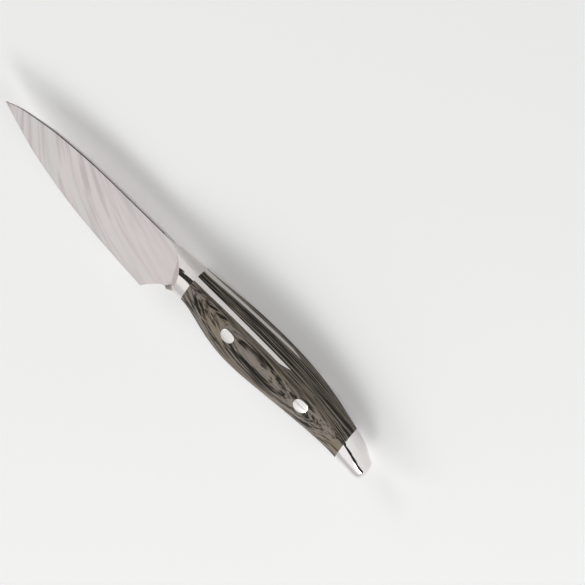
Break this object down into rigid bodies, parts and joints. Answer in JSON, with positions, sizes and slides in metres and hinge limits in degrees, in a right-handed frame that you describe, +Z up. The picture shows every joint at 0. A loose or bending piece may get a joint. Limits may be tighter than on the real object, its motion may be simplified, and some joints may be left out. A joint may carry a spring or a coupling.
{
  "type": "paring knife",
  "caption": "Paring knife with a short pointed blade, a steel bolster, a riveted laminated-wood handle with bright bands along its back, and a polished steel end cap.",
  "frame": {"origin": "on the surface that the knife lies on, under the middle of its outline, with its right side down", "axes": "+X along the knife from the tip to the butt, +Y from the edge to the spine, +Z up out of the left side"},
  "size_m": [0.206, 0.0277, 0.022],
  "materials": {
    "layered_steel": "satin with a faint wavy layered pattern",
    "bolster_steel": "fine satin",
    "band_steel": "fine satin",
    "rivet_steel": "fine satin",
    "cap_steel": "polished",
    "core_wood": "satin, laminated, dark",
    "scale_wood": "satin, laminated, grey and black"
  },
  "bodies": {
    "root": {"blade": "layered_steel", "bolster": "bolster_steel", "tang_plate_left": "band_steel", "tang_plate_right": "band_steel", "handle_core": "core_wood", "scale_left": "scale_wood", "scale_right": "scale_wood", "front_rivet_sleeve": "rivet_steel", "front_rivet_pin": "rivet_steel", "rear_rivet_sleeve": "rivet_steel", "rear_rivet_pin": "rivet_steel", "end_cap": "cap_steel"}
  },
  "joints": []
}
